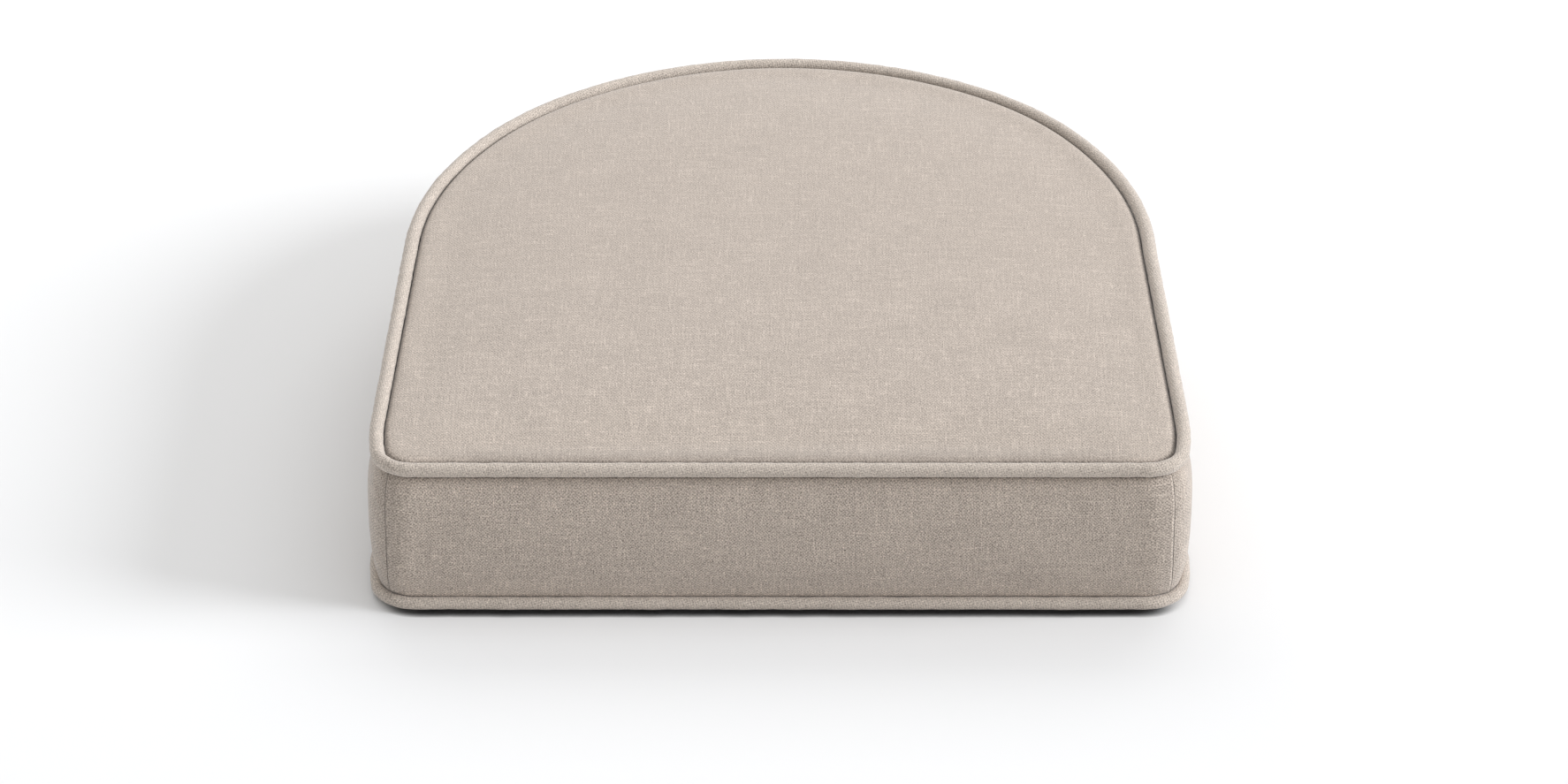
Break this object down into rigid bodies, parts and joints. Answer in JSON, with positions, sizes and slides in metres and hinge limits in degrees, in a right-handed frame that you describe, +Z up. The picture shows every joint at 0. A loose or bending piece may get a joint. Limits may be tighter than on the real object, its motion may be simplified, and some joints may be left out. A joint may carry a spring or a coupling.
{
  "type": "boxed seat cushion with piping",
  "caption": "D-shaped boxed seat cushion in oatmeal linen-look cloth, with a crowned top, a straight front, a round back and piped top and bottom edges.",
  "frame": {"origin": "centre of the plan's bounding box on the floor that the bottom panel lies on", "axes": "+Z up through the crown, -Y towards the straight front edge, +Y towards the round back, +X to the right seen from the front"},
  "size_m": [0.5306, 0.5316, 0.1178],
  "materials": {
    "linen": "matt plain weave with slubs",
    "piping_linen": "matt plain weave cut on the bias"
  },
  "bodies": {
    "root": {"cushion": "linen", "front_boxing": "linen", "side_boxing": "linen", "top_piping": "piping_linen", "bottom_piping": "piping_linen"}
  },
  "joints": []
}
